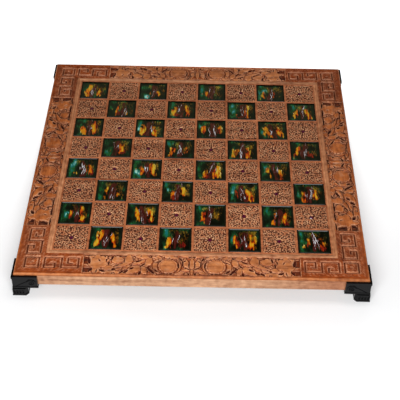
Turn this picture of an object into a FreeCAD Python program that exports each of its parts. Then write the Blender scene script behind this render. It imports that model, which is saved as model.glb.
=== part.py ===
import FreeCAD, Part
import math
import os

# An enamel chessboard: a mitred frame of moulded rails round a carved playing panel, enamel tiles let
# into the dark squares, a small gem in each light square, and a cast foot at each corner.
# Millimetres. X to the right, Y away from the player, Z up. The origin is on the table, under the centre.

V = FreeCAD.Vector

# Board
board_width = 400.0        # over the nosing of the rails
board_top = 33.5           # carved top of the rails above the table
rail_thickness = 19.6
rail_width = 32.8          # seen from above, nosing included
nosing_depth = 3.4         # height of the lip along the top edge
nosing_round = 1.7
nosing_overhang = 1.4      # how far the lip stands out from the rail's face
rail_arris = 1.0           # rounding of the bottom outside edge

# Playing panel
squares = 8
square = 40.3              # pitch of the squares
field_drop = 0.6           # ribs of the panel below the rails' top
panel_thickness = 9.0
tongue_thickness = 5.0
tongue_reach = 6.0         # how far the panel's tongue enters the rail
groove_spare = 1.0         # room for the panel to swell

# Inner moulding between rails and panel
fillet_drop = 0.3          # its high step below the rails' top
fillet_step_width = 2.6
fillet_step = 0.9

# Enamel tiles, and the sunk ground of the light squares
tile_size = 37.9
tile_thickness = 3.2
tile_drop = 0.3            # edge of the enamel below the panel's ribs
tile_edge = 0.2            # level edge along the pocket's wall
tile_rim = 1.6             # slope inside it, where the enamel climbed as it was fired
tile_dish = 0.6            # middle of the enamel below its edge
ground_drop = 1.0

# Gems and their bezel cups
cup_radius = 2.8
cup_wall = 0.7
cup_floor = 0.6
cup_height = 2.4
cup_drop = 0.9             # rim of the cup below the panel's ribs
gem_crown = 0.8            # sloping crown of the stone above the rim
gem_table = 0.5            # flat top's radius against the girdle's

# Greek key cut into the corners of the frame
key_line = 2.2             # width of the cut line
key_depth = 1.6
key_near = 11.0            # from the board's edge to the middle of the outer line
key_far = 26.4
key_level = 17.6           # where the short strokes turn inward
key_first = 32.8           # the three long strokes, from the board's corner
key_second = 52.4
key_third = 71.5
key_outer_hook = 45.0      # short stroke from the outer line, and the one from the inner line
key_inner_hook = 59.5
key_tip = 4.5              # last stroke of each spiral
key_end = 77.6             # closing line of the corner ornament
key_end_margin = 3.5       # left uncut at both ends of the closing line
key_dot = 2.4

# Base panel under the board
base_thickness = 4.0
base_recess = 0.8          # base panel above the underside of the rails
rabbet_width = 7.0

# Loose splines across the mitres
spline_thickness = 3.0
spline_length = 12.0
spline_width = 12.0
spline_height = 4.0        # above the underside of the rails
spline_inset = 17.4        # its middle from the board's edges

# Cast corner feet. "Out" is the distance outward from the rail's face.
wing_length = 25.2         # from the rail's corner along each face
abacus_out = 4.0
abacus_height = 3.4
face_out = 3.4
band_out = 3.9             # along the bottom of the wings
band_height = 1.6
shelf_thickness = 1.6      # plate under the rail
shelf_lip = 0.4            # how far the shelf runs past the end of the wing
shelf_corner_cut = 11.5    # off its inner corner
block_size = 17.4
block_out = 4.3
block_chamfer = 3.1        # across the end of each outer side, in plan
necking_height = 1.7
necking_in = 0.9           # inside the block's sides
plinth_height = 2.0
plinth_flare = 0.4
flutes = 4
flute_width = 2.1
flute_pitch = 3.3
flute_margin = 2.2         # above the plinth and below the necking

# Volute on each wing of a foot
volute_from_end = 7.4      # from the free end of the wing to the eye
volute_radius = 5.4
volute_boss = 0.7          # how far the scroll stands out of the wing's face
volute_cut = 0.9           # width of the spiral line
volute_depth = 0.8
volute_quarters = 7        # quarter turns of the spiral
volute_steps = 3           # straight steps in each quarter
volute_shrink = 0.79       # each quarter's radius against the one before
volute_start = 123.0       # degrees round the eye, where the straight run meets the spiral
boss_sides = 18

# Countersunk wood screws
screw_shank = 1.5
screw_head = 3.1
screw_head_height = 1.6
screw_tip = 0.6
foot_screw_length = 13.0
foot_screw_margin = 4.0    # from the end of the wing
foot_screw_inset = 9.0     # from the rail's face
base_screw_length = 7.6

small_sides = 8            # small round pieces and their holes have this many sides

# Worked out
half = board_width / 2
face = half - nosing_overhang            # rail's outer face
inner = half - rail_width                # rail's inner edge
field = squares * square / 2             # edge of the playing field
rail_bottom = board_top - rail_thickness
field_top = board_top - field_drop
panel_bottom = field_top - panel_thickness
tongue_top = panel_bottom + tongue_thickness
fillet_top = board_top - fillet_drop
ground = field_top - ground_drop
shelf_bottom = rail_bottom - shelf_thickness
base_bottom = rail_bottom + base_recess
wing_top = board_top - nosing_depth
volute_height = (shelf_bottom + band_height + wing_top - abacus_height) / 2


def box(x0, y0, z0, x1, y1, z1):
    return Part.makeBox(x1 - x0, y1 - y0, z1 - z0, V(x0, y0, z0))


def prism(points, rise):
    """Face through the points, pushed along the vector."""
    return Part.Face(Part.makePolygon(points + [points[0]])).extrude(rise)


def flat_face(points):
    return Part.Face(Part.makePolygon(points + [points[0]]))


def faceted(x, y, levels, sides=small_sides):
    """Upright solid with flat sides, regular polygons at levels of (height, radius to a corner)."""
    turns = [2 * math.pi * (number + 0.5) / sides for number in range(sides)]
    rings = [[V(x + r * math.cos(turn), y + r * math.sin(turn), z) for turn in turns] for z, r in levels]
    faces = [flat_face(rings[0]), flat_face(rings[-1])]
    for low, high in zip(rings, rings[1:]):
        for n in range(sides):
            faces.append(flat_face([low[n - 1], low[n], high[n], high[n - 1]]))
    solid = Part.Solid(Part.Shell(faces))
    return solid if solid.Volume > 0 else solid.reversed()


def fused(shapes):
    whole = shapes[0]
    if len(shapes) > 1:
        whole = whole.fuse(shapes[1:])
    return whole.removeSplitter()


def turned(shape, quarter_turns):
    """A copy turned about the board's upright centre line."""
    copy = shape.copy()
    copy.rotate(V(0, 0, 0), V(0, 0, 1), 90 * quarter_turns)
    return copy


def save(name, shape):
    solids = shape.Solids
    if not solids or not shape.isValid():
        raise ValueError(name + " is not a valid solid")
    kept = solids[0] if len(solids) == 1 else Part.makeCompound(solids)
    kept.exportStep("parts/" + name + ".step")
    print(name, len(solids), "solid(s)", round(sum(s.Volume for s in solids) / 1000, 2), "cm3")


# Rails. The section is drawn for the front rail, in Y and Z, and carried along X.

def rail_section(x):
    """Rounded nosing, plain face, rabbet for the base panel and groove for the tongue."""
    groove_end = -inner - tongue_reach - groove_spare
    rabbet = -inner - rabbet_width
    base_top = base_bottom + base_thickness
    slant = 1 - math.sin(math.pi / 4)
    r = nosing_round
    top_round = Part.Arc(V(x, -half + r, board_top), V(x, -half + r * slant, board_top - r * slant),
                         V(x, -half, board_top - r)).toShape()
    r = rail_arris
    low_round = Part.Arc(V(x, -face, rail_bottom + r), V(x, -face + r * slant, rail_bottom + r * slant),
                         V(x, -face + r, rail_bottom)).toShape()
    outside = [V(x, -half, board_top - nosing_round), V(x, -half, wing_top), V(x, -face, wing_top),
               V(x, -face, rail_bottom + rail_arris)]
    inside = [
        V(x, -face + rail_arris, rail_bottom), V(x, rabbet, rail_bottom), V(x, rabbet, base_top),
        V(x, -inner, base_top), V(x, -inner, panel_bottom), V(x, groove_end, panel_bottom),
        V(x, groove_end, tongue_top), V(x, -inner, tongue_top), V(x, -inner, board_top),
        V(x, -half + nosing_round, board_top),
    ]
    outline = [top_round] + [Part.makeLine(a, b) for a, b in zip(outside, outside[1:])]
    outline += [low_round] + [Part.makeLine(a, b) for a, b in zip(inside, inside[1:])]
    return Part.Face(Part.Wire(outline))


def mitre(reach):
    """Everything in front of the two diagonals of the board."""
    corners = [V(0, 0, -1), V(-reach, -reach, -1), V(reach, -reach, -1)]
    return prism(corners, V(0, 0, board_top + 2))


def key_stroke(x0, y0, x1, y1):
    """One straight cut, square at its ends, seen from the front left corner of the board."""
    w = key_line / 2
    x0, x1 = sorted((x0, x1))
    y0, y1 = sorted((y0, y1))
    floor = board_top - key_depth
    return box(x0 - w - half, y0 - w - half, floor, x1 + w - half, y1 + w - half, board_top + 1)


def key_leg():
    """Two linked square spirals along a rail: distances from the corner, and from the board's edge."""
    return [
        (key_outer_hook - key_tip, key_level), (key_outer_hook, key_level), (key_outer_hook, key_near),
        (key_first, key_near), (key_first, key_far), (key_second, key_far),
        (key_second, key_near), (key_third, key_near), (key_third, key_far),
        (key_inner_hook, key_far), (key_inner_hook, key_level), (key_inner_hook + key_tip, key_level),
    ]


def key_cutters():
    """The corner square with its dot, both legs and the closing lines of one corner."""
    cuts = []
    path = key_leg()
    for (x0, y0), (x1, y1) in zip(path, path[1:]):
        cuts += [key_stroke(x0, y0, x1, y1), key_stroke(y0, x0, y1, x1)]
    near, far = key_near, key_far
    ring = [(near, near), (far, near), (far, far), (near, far), (near, near)]
    cuts += [key_stroke(x0, y0, x1, y1) for (x0, y0), (x1, y1) in zip(ring, ring[1:])]
    middle = (near + far) / 2
    dot = key_dot / 2
    cuts.append(box(middle - dot - half, middle - dot - half, board_top - key_depth,
                    middle + dot - half, middle + dot - half, board_top + 1))
    near, far = key_end_margin, rail_width - key_end_margin
    cuts += [key_stroke(key_end, near, key_end, far), key_stroke(near, key_end, far, key_end)]
    return fused(cuts)


def spline_blank():
    """Loose tongue across the front left mitre, square to the joint."""
    middle = half - spline_inset
    z0 = rail_bottom + spline_height
    blank = Part.makeBox(spline_length, spline_width, spline_thickness,
                         V(-spline_length / 2, -spline_width / 2, z0))
    blank.rotate(V(0, 0, 0), V(0, 0, 1), -45)
    blank.translate(V(-middle, -middle, 0))
    return blank


def screw(x, y, head_z, length):
    """Countersunk tapering screw, driven upward, with its head flush at head_z."""
    neck = head_z + screw_head_height
    return faceted(x, y, [(head_z, screw_head), (neck, screw_shank), (head_z + length, screw_tip)])


# Feet. The front left foot is made, and turned to the other corners.

def corner_wall(out, z0, z1):
    """L-shaped wall round the rails' corner, against their faces."""
    outer = -face - out
    free = -face + wing_length
    points = [
        V(outer, outer, z0), V(free, outer, z0), V(free, -face, z0), V(-face, -face, z0),
        V(-face, free, z0), V(outer, free, z0),
    ]
    return prism(points, V(0, 0, z1 - z0))


def shelf():
    """Plate under the rails' corner, cut back across its inner corner."""
    end = -face + wing_length + shelf_lip
    cut = shelf_corner_cut
    outer = -face - band_out
    points = [
        V(outer, outer, shelf_bottom), V(end, outer, shelf_bottom), V(end, end - cut, shelf_bottom),
        V(end - cut, end, shelf_bottom), V(outer, end, shelf_bottom),
    ]
    return prism(points, V(0, 0, shelf_thickness))


def volute_line():
    """Flat band in X and Z: a straight run up from the foot's corner, then a spiral round the eye.

    The spiral's radius shrinks by the same factor in every quarter turn.
    """
    eye = V(-face + wing_length - volute_from_end, 0, volute_height)
    widest = volute_radius - volute_cut

    def side(offset):
        points = []
        for step in range(volute_quarters * volute_steps + 1):
            quarters = step / volute_steps
            angle = math.radians(volute_start - 90 * quarters)
            radius = widest * volute_shrink ** quarters + offset
            points.append(eye + V(math.cos(angle), 0, math.sin(angle)) * radius)
        return points

    outer = side(volute_cut / 2)
    inner = side(-volute_cut / 2)
    start = math.radians(volute_start)
    low = shelf_bottom + band_height + volute_cut
    run = V(-math.sin(start), 0, math.cos(start)) * ((low - outer[0].z) / math.cos(start))
    outline = [outer[0] + run] + outer + inner[::-1] + [inner[0] + run]
    return Part.Face(Part.makePolygon(outline + [outline[0]]))


def volute_parts():
    """The raised scroll of the wing along the front rail, and the line cut through it."""
    out = face_out + volute_boss
    boss = faceted(0, 0, [(0, volute_radius), (out, volute_radius)], boss_sides)
    boss.rotate(V(0, 0, 0), V(1, 0, 0), 90)
    boss.translate(V(-face + wing_length - volute_from_end, -face, volute_height))
    line = volute_line()
    line.translate(V(0, -face - out - 1, 0))
    return boss, line.extrude(V(0, 1 + volute_boss + volute_depth, 0))


def mirrored(shape):
    """The same shape on the foot's other wing: X and Y change places."""
    return shape.mirror(V(0, 0, 0), V(1, -1, 0).normalize())


def block_tier(grow, z0, z1):
    """One tier of the block, grown outward by grow, with its outer sides' ends cut at 45 degrees."""
    low = -face - block_out - grow
    high = low + block_size + 2 * grow
    cut = block_chamfer
    points = [
        V(low, low, z0), V(high - cut, low, z0), V(high, low + cut, z0), V(high, high - cut, z0),
        V(high - cut, high, z0), V(low + cut, high, z0), V(low, high - cut, z0),
    ]
    return prism(points, V(0, 0, z1 - z0))


def block():
    """Fluted block under the corner, with a sunk necking above and a plinth below."""
    top = shelf_bottom - necking_height
    body = block_tier(0, 0, top)
    neck = block_tier(-necking_in, top, shelf_bottom)
    plinth = block_tier(plinth_flare, 0, plinth_height)
    outer = -face - block_out
    middle = outer + (block_size - block_chamfer) / 2
    first = middle - flute_pitch * (flutes - 1) / 2
    radius = flute_width / 2
    z0 = plinth_height + flute_margin
    z1 = top - flute_margin
    flute_cuts = []
    for number in range(flutes):
        x = first + number * flute_pitch
        levels = [(z0 - radius, radius / 5), (z0, radius), (z1, radius), (z1 + radius, radius / 5)]
        flute_cuts.append(faceted(x, outer, levels))
    flute_cuts += [mirrored(cut_out) for cut_out in flute_cuts]
    return fused([body, neck, plinth]).cut(flute_cuts)


def foot_screw_places():
    """Two screws a foot, beside the block, up into the middle of each rail."""
    along = -face + wing_length - foot_screw_margin
    across = -face + foot_screw_inset
    return [(along, across), (across, along)]


def corner_foot():
    wall = corner_wall(face_out, shelf_bottom, wing_top)
    abacus = corner_wall(abacus_out, wing_top - abacus_height, wing_top)
    band = corner_wall(band_out, shelf_bottom, shelf_bottom + band_height)
    boss, line = volute_parts()
    whole = fused([wall, abacus, band, boss, mirrored(boss), shelf(), block()])
    whole = whole.cut([line, mirrored(line)])
    for x, y in foot_screw_places():
        whole = whole.cut(screw(x, y, shelf_bottom, foot_screw_length))
    return whole.removeSplitter()


# Playing panel, inner moulding and base

def square_middle(number):
    return (number - (squares - 1) / 2) * square


def is_dark(row, column):
    """Rows and columns from 0, from the front left corner, which is a light square."""
    return (row + column) % 2 == 1


places = [(row, column) for row in range(squares) for column in range(squares)]
dark_squares = [place for place in places if is_dark(*place)]
light_squares = [place for place in places if not is_dark(*place)]


def playing_panel():
    reach = inner + tongue_reach
    slab = box(-field, -field, panel_bottom, field, field, field_top)
    tongue = box(-reach, -reach, panel_bottom, reach, reach, tongue_top)
    pockets = []
    pocket_floor = field_top - tile_drop - tile_thickness
    for row, column in dark_squares:
        x, y = square_middle(column), square_middle(row)
        h = tile_size / 2
        pockets.append(box(x - h, y - h, pocket_floor, x + h, y + h, field_top + 1))
    for row, column in light_squares:
        x, y = square_middle(column), square_middle(row)
        h = tile_size / 2
        pockets.append(box(x - h, y - h, ground, x + h, y + h, field_top + 1))
        seat = field_top - cup_drop - cup_height
        pockets.append(faceted(x, y, [(seat, cup_radius), (ground + 0.5, cup_radius)]))
    return slab.fuse(tongue).removeSplitter().cut(pockets)


def fillet_strip():
    """Front strip of the inner moulding, in two steps, mitred at its ends."""
    step = -field - fillet_step_width
    low = fillet_top - fillet_step
    points = [
        V(-half, -inner, tongue_top), V(-half, -field, tongue_top), V(-half, -field, low),
        V(-half, step, low), V(-half, step, fillet_top), V(-half, -inner, fillet_top),
    ]
    return prism(points, V(2 * half, 0, 0)).common(mitre(half + 1))


def base_panel():
    reach = inner + rabbet_width
    panel = box(-reach, -reach, base_bottom, reach, reach, base_bottom + base_thickness)
    return panel.cut([screw(x, y, base_bottom, base_screw_length) for x, y in base_screw_places()])


def base_screw_places():
    """Two screws along each side, through the base panel into the rails' rabbet."""
    line = inner + rabbet_width / 2
    along = field / 2
    front = [(-along, -line), (along, -line)]
    places = []
    for quarter in range(4):
        turn = math.pi / 2 * quarter
        for x, y in front:
            places.append((x * math.cos(turn) - y * math.sin(turn), x * math.sin(turn) + y * math.cos(turn)))
    return places


def enamel_tile(row, column):
    """Square tile, dished: the enamel stands higher where it met the walls of its pocket."""
    x, y = square_middle(column), square_middle(row)
    top = field_top - tile_drop
    h = tile_size / 2
    block = box(x - h, y - h, top - tile_thickness, x + h, y + h, top)
    corner = math.sqrt(2) * (h - tile_edge)
    dish = faceted(x, y, [(top - tile_dish, corner - math.sqrt(2) * tile_rim), (top, corner)], 4)
    return block.cut(dish)


def bezel_cup(x, y):
    seat = field_top - cup_drop - cup_height
    rim = seat + cup_height
    outside = faceted(x, y, [(seat, cup_radius), (rim, cup_radius)])
    hollow = faceted(x, y, [(seat + cup_floor, cup_radius - cup_wall), (rim + 1, cup_radius - cup_wall)])
    return outside.cut(hollow)


def gem(x, y):
    """Table-cut stone: a straight girdle inside the cup, and a sloping crown above its rim."""
    radius = cup_radius - cup_wall
    rim = field_top - cup_drop
    seat = rim - cup_height + cup_floor
    return faceted(x, y, [(seat, radius), (rim, radius), (rim + gem_crown, radius * gem_table)])


def main():
    os.makedirs("parts", exist_ok=True)
    sides = ("front", "right", "back", "left")
    corners = ("front_left", "front_right", "back_right", "back_left")

    keys = key_cutters()
    all_keys = [turned(keys, quarter) for quarter in range(4)]
    splines = [turned(spline_blank(), quarter) for quarter in range(4)]
    foot_screws = []
    for quarter in range(4):
        for x, y in foot_screw_places():
            foot_screws.append(turned(screw(x, y, shelf_bottom, foot_screw_length), quarter))
    base_screws = [screw(x, y, base_bottom, base_screw_length) for x, y in base_screw_places()]

    blank = rail_section(-half - 1).extrude(V(2 * half + 2, 0, 0)).common(mitre(half + 1))
    for quarter, side in enumerate(sides):
        rail = turned(blank, quarter).cut(all_keys + splines + foot_screws + base_screws)
        save("rail_" + side, rail)
        save("inner_fillet_" + side, turned(fillet_strip(), quarter))
    foot = corner_foot()
    for quarter, corner in enumerate(corners):
        save("corner_foot_" + corner, turned(foot, quarter))
    save("mitre_splines", Part.makeCompound(splines))
    save("foot_screws", Part.makeCompound(foot_screws))
    save("base_panel", base_panel())
    save("base_screws", Part.makeCompound(base_screws))
    save("playing_panel", playing_panel())
    for row, column in dark_squares:
        save("enamel_tile_row%d_column%d" % (row + 1, column + 1), enamel_tile(row, column))
    for row in range(squares):
        stones = [gem(square_middle(c), square_middle(r)) for r, c in light_squares if r == row]
        save("gems_row%d" % (row + 1), Part.makeCompound(stones))
    cups = [bezel_cup(square_middle(c), square_middle(r)) for r, c in light_squares]
    save("bezel_cups", Part.makeCompound(cups))


main()
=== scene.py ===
# %% [markdown]
# # An enamel chessboard
# The board is a frame of four carved rails round a carved playing panel. Enamel tiles fill the dark
# squares, the light squares are stippled round a small stone, and a cast foot holds each corner.
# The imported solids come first, and everything here is made in their frame: metres for Blender, but
# millimetres in the sums, because the board was drawn in millimetres. `MM` turns one into the other.

# %% Frame
import math
import bmesh
import bpy
import numpy as np
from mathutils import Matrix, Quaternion, Vector


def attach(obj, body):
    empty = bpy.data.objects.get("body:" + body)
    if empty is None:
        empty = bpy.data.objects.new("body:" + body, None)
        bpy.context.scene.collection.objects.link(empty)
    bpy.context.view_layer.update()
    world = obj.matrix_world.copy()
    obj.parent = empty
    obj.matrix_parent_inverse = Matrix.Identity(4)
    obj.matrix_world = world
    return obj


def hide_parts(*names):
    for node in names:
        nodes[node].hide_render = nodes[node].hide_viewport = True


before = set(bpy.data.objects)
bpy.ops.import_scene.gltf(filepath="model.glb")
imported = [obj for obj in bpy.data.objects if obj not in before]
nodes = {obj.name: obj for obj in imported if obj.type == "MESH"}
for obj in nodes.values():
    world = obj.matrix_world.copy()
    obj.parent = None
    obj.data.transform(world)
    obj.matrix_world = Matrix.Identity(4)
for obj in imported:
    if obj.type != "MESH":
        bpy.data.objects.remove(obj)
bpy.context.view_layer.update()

MM = 0.001

# %% [markdown]
# ## Measures
# The same named sizes as the solids, so that each new surface lies where its solid lies.

# %% Measures
HALF = 200.0               # half the board's width, over the nosing
TOP = 33.5                 # rails' top above the table
RAIL_WIDTH = 32.8
RAIL_BOTTOM = 13.9
FACE_INSET = 1.4           # rail's face behind the nosing
NOSING_DEPTH = 3.4
NOSING_ROUND = 1.7
PITCH = 40.3               # of the squares
FIELD = 4 * PITCH
FIELD_TOP = 32.9
GROUND = 31.9              # sunk ground of the light squares
POCKET = 37.9
TILE_TOP = 32.6
TILE_DISH = 0.6
TILE_THICKNESS = 3.2
CUP_RADIUS = 2.8
STONE_RADIUS = 2.1
CUP_RIM = 32.0
STONE_TOP = 32.8
SIDES = ("front", "right", "back", "left")
CORNERS = ("front_left", "front_right", "back_right", "back_left")
PLACES = [(row, column) for row in range(8) for column in range(8)]
LIGHT = [place for place in PLACES if sum(place) % 2 == 0]
DARK = [place for place in PLACES if sum(place) % 2 == 1]


def square_middle(number):
    return (number - 3.5) * PITCH


# %% [markdown]
# ## Turning numbers into meshes
# A surface here is a grid of points worked out by numpy as whole arrays. `foreach_set` hands the arrays
# to Blender in one go, which is many times faster than adding points one by one.

# %% Mesh helpers
def smooth_step(low, high, value):
    """0 below low, 1 above high, and 3q2 - 2q3 between, where q is the share of the way."""
    q = np.clip((value - low) / (high - low), 0, 1)
    return q * q * (3 - 2 * q)


def blurred(field, *cells):
    """Mean over a window of 2 cells + 1 along each axis, from running sums. One number serves both axes."""
    for axis, reach in enumerate(cells if len(cells) == 2 else cells * 2):
        size = 2 * reach + 1
        pad = [(reach + 1, reach) if a == axis else (0, 0) for a in (0, 1)]
        total = np.cumsum(np.pad(field, pad, mode="edge"), axis=axis)
        ahead = np.take(total, np.arange(size, total.shape[axis]), axis=axis)
        behind = np.take(total, np.arange(0, total.shape[axis] - size), axis=axis)
        field = (ahead - behind) / size
    return field


def cloudy(rng, shape, *cells):
    """Random field of mean 0 and deviation 1 whose clouds are about 3 cells wide along each axis."""
    field = blurred(blurred(rng.normal(0, 1, shape), *cells), *cells)
    return (field - field.mean()) / field.std()


def grid_quads(rows, columns, close_columns=False):
    """Quads between neighbours of a rows by columns grid, numbered row by row."""
    across = columns if close_columns else columns - 1
    i, j = np.meshgrid(np.arange(rows - 1), np.arange(across), indexing="ij")
    after = (j + 1) % columns
    corners = (i * columns + j, i * columns + after, (i + 1) * columns + after, (i + 1) * columns + j)
    return np.stack(corners, axis=-1).reshape(-1, 4)


def turned(points, quarters):
    """Points turned about the board's upright middle line, in quarter turns."""
    turn = math.pi / 2 * quarters
    c, s = round(math.cos(turn)), round(math.sin(turn))
    x, y, z = points[..., 0], points[..., 1], points[..., 2]
    return np.stack([c * x - s * y, s * x + c * y, z], axis=-1)


def piece(name, points, quads, material, replaced=(), caps=(), colours=None, uv=None, sharp=35):
    """A mesh object from millimetre points, quads and larger end faces, riding on the board.

    colours is a dict of point attributes, each an array of four numbers a point.
    """
    points = np.asarray(points, float).reshape(-1, 3)
    corners = np.concatenate([np.asarray(quads).ravel()] + [np.asarray(cap) for cap in caps])
    sizes = np.array([4] * len(quads) + [len(cap) for cap in caps])
    mesh = bpy.data.meshes.new(name)
    mesh.vertices.add(len(points))
    mesh.vertices.foreach_set("co", (points * MM).ravel())
    mesh.loops.add(len(corners))
    mesh.loops.foreach_set("vertex_index", corners.astype(np.int32))
    mesh.polygons.add(len(sizes))
    mesh.polygons.foreach_set("loop_start", (np.cumsum(sizes) - sizes).astype(np.int32))
    mesh.update(calc_edges=True)
    mesh.polygons.foreach_set("use_smooth", np.ones(len(sizes), bool))
    for label, values in (colours or {}).items():
        layer = mesh.attributes.new(label, "FLOAT_COLOR", "POINT")
        layer.data.foreach_set("color", np.asarray(values, np.float32).ravel())
    if uv is not None:
        layer = mesh.uv_layers.new(name="UVMap")
        layer.data.foreach_set("uv", np.asarray(uv, np.float32).reshape(-1, 2)[corners].ravel())
    mesh.validate()
    mesh.set_sharp_from_angle(angle=math.radians(sharp))
    made = bpy.data.objects.new(name, mesh)
    bpy.context.scene.collection.objects.link(made)
    mesh.materials.append(material)
    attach(made, "root")
    if replaced:
        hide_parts(*replaced)
    return made


# %% [markdown]
# ## Camera
# The photograph looks down at the board from the player's side. These angles and distances come from
# fitting a camera to the corners of the frame, the field and the feet.

# %% Camera
VIEW_AZIMUTH = 0.388       # degrees to the player's right
VIEW_ELEVATION = 43.656
VIEW_ROLL = 0.805
VIEW_AIM = (0.00733, -0.04027, 0.0)
VIEW_DISTANCE = 1.2021
FOCAL_PIXELS = 951.6       # in a frame 400 pixels wide

azimuth, elevation = math.radians(VIEW_AZIMUTH), math.radians(VIEW_ELEVATION)
back = Vector((math.sin(azimuth) * math.cos(elevation), -math.cos(azimuth) * math.cos(elevation),
               math.sin(elevation)))
camera_data = bpy.data.cameras.new("view")
camera_data.sensor_width = 36.0
camera_data.lens = FOCAL_PIXELS / 400 * camera_data.sensor_width
camera_data.clip_end = 20.0
camera = bpy.data.objects.new("view", camera_data)
camera.rotation_mode = "QUATERNION"
camera.rotation_quaternion = back.to_track_quat("Z", "Y") @ Quaternion((0, 0, 1), math.radians(VIEW_ROLL))
camera.location = Vector(VIEW_AIM) + back * VIEW_DISTANCE
bpy.context.scene.collection.objects.link(camera)
bpy.context.scene.camera = camera
print("lens", round(camera_data.lens, 2), "mm")

# %% [markdown]
# ## Colours and shader nodes
# Colours are written as the eye names them, in sRGB hex, and Blender wants them linear. One function
# adds any node: its settings are plain words, its inputs are numbers, colours or other nodes' outputs.

# %% Node helpers
def colour(code):
    """Linear red, green, blue and 1 from an sRGB hex code."""
    parts = [int(code[n:n + 2], 16) / 255 for n in (1, 3, 5)]
    return tuple(p / 12.92 if p <= 0.04045 else ((p + 0.055) / 1.055) ** 2.4 for p in parts) + (1.0,)


def new_material(name):
    """An empty material with its output node."""
    material = bpy.data.materials.new(name)
    material.use_nodes = True
    material.node_tree.nodes.clear()
    material.node_tree.nodes.new("ShaderNodeOutputMaterial")
    return material


def add(material, kind, inputs=None, stops=None, **settings):
    """Adds a node. inputs go by name or number, and stops are (place, hex) pairs of a colour ramp."""
    tree = material.node_tree
    node = tree.nodes.new("ShaderNode" + kind)
    for name, value in settings.items():
        setattr(node, name, value)
    for name, value in (inputs or {}).items():
        if isinstance(value, bpy.types.NodeSocket):
            tree.links.new(value, node.inputs[name])
        else:
            node.inputs[name].default_value = value
    if stops:
        ramp = node.color_ramp
        while len(ramp.elements) < len(stops):
            ramp.elements.new(0.5)
        for element, (place, code) in zip(ramp.elements, stops):
            element.position = place
            element.color = colour(code)
    return node


def finish_with(material, shader):
    """Links the last shader to the material's output."""
    output = material.node_tree.nodes["Material Output"]
    material.node_tree.links.new(shader.outputs[0], output.inputs["Surface"])
    return material


# %% [markdown]
# ## Wood
# The frame is a pale hardwood under a copper brown stain and a satin varnish. The stain runs into the
# carving and the open grain and dries darker there, and rubs thin on every raised edge. Painted shade
# darkens the hollows further, and painted highlights lighten the raised edges. The grain is noise
# stretched along the plank: about 1 mm across the fibres, and 20 times that along them.
# The point attribute "carving" holds in red the darkening of the cuts, which follows their depth: stain,
# painted shade in the hollows and a painted shadow under the nosing. In green are the rubbed edges with
# painted highlights, in blue the paler plain faces, which on the rails' outer faces are a painted sheen,
# and in alpha the leaf tops, which hands have polished.

# %% Wood
GRAIN_ACROSS = 700.0       # noise cells a metre: fibres of about 1.4 mm, as coarse as they need to show
GRAIN_ALONG = 60.0
FIGURE_ACROSS = 130.0      # growth bands of about 8 mm
FIGURE_ALONG = 9.0
GRAIN_TONES = ((0.38, "#a38d80"), (0.47, "#cfc3bb"), (0.54, "#e4dcd6"), (0.62, "#ffffff"))


def stained_wood(name, along_x, base, shades=None):
    """Stained and varnished hardwood, its grain along X or along Y.

    shades has the colours of the polished top, the plain face (on the rails a painted sheen), the rubbed
    edge (with painted highlights) and the groove (stain, with painted shade on the rails). Whatever the
    shade, it is multiplied by the tones of the grain. The grooves are left matt, as cloths and pads
    don't reach them.
    """
    m = new_material(name)
    place = add(m, "TexCoord").outputs["Object"]
    fine = (GRAIN_ALONG, GRAIN_ACROSS, GRAIN_ACROSS) if along_x else (GRAIN_ACROSS, GRAIN_ALONG, GRAIN_ACROSS)
    broad = (FIGURE_ALONG, FIGURE_ACROSS, FIGURE_ACROSS) if along_x else (FIGURE_ACROSS, FIGURE_ALONG, FIGURE_ACROSS)
    fine_place = add(m, "Mapping", {"Vector": place, "Scale": fine}).outputs[0]
    broad_place = add(m, "Mapping", {"Vector": place, "Scale": broad}).outputs[0]
    fibres = add(m, "TexNoise", {"Vector": fine_place, "Scale": 1.0, "Detail": 4.0, "Roughness": 0.6})
    figure = add(m, "TexNoise", {"Vector": broad_place, "Scale": 1.0, "Detail": 3.0, "Distortion": 0.6})
    blotch = add(m, "TexNoise", {"Vector": place, "Scale": 160.0, "Detail": 3.0})
    mixed = add(m, "Math", {0: fibres.outputs["Fac"], 1: figure.outputs["Fac"]}, operation="ADD")
    mixed = add(m, "Math", {0: mixed.outputs[0], 1: blotch.outputs["Fac"]}, operation="ADD")
    share = add(m, "Math", {0: mixed.outputs[0], 1: 1 / 3}, operation="MULTIPLY")
    grain = add(m, "ValToRGB", {"Fac": share.outputs[0]}, stops=GRAIN_TONES).outputs["Color"]
    shade, matt = colour(base), 0.42
    if shades:
        carving = add(m, "Attribute", attribute_name="carving")
        cut = add(m, "SeparateColor", {"Color": carving.outputs["Color"]})
        amounts = carving.outputs["Alpha"], cut.outputs["Blue"], cut.outputs["Green"], cut.outputs["Red"]
        for amount, code in zip(amounts, shades):
            shade = add(m, "Mix", {0: amount, 6: shade, 7: colour(code)}, data_type="RGBA").outputs[2]
        matt = add(m, "MapRange", {"Value": amounts[3], "To Min": matt, "To Max": 0.9}).outputs[0]
    wood = add(m, "Mix", {0: 1.0, 6: shade, 7: grain}, data_type="RGBA", blend_type="MULTIPLY").outputs[2]
    bump = add(m, "Bump", {"Height": fibres.outputs["Fac"], "Strength": 0.4, "Distance": 0.0003})
    shader = add(m, "BsdfPrincipled", {"Base Color": wood, "Roughness": matt, "IOR": 1.45,
                                       "Specular IOR Level": 0.22, "Normal": bump.outputs[0]})
    return finish_with(m, shader)


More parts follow.
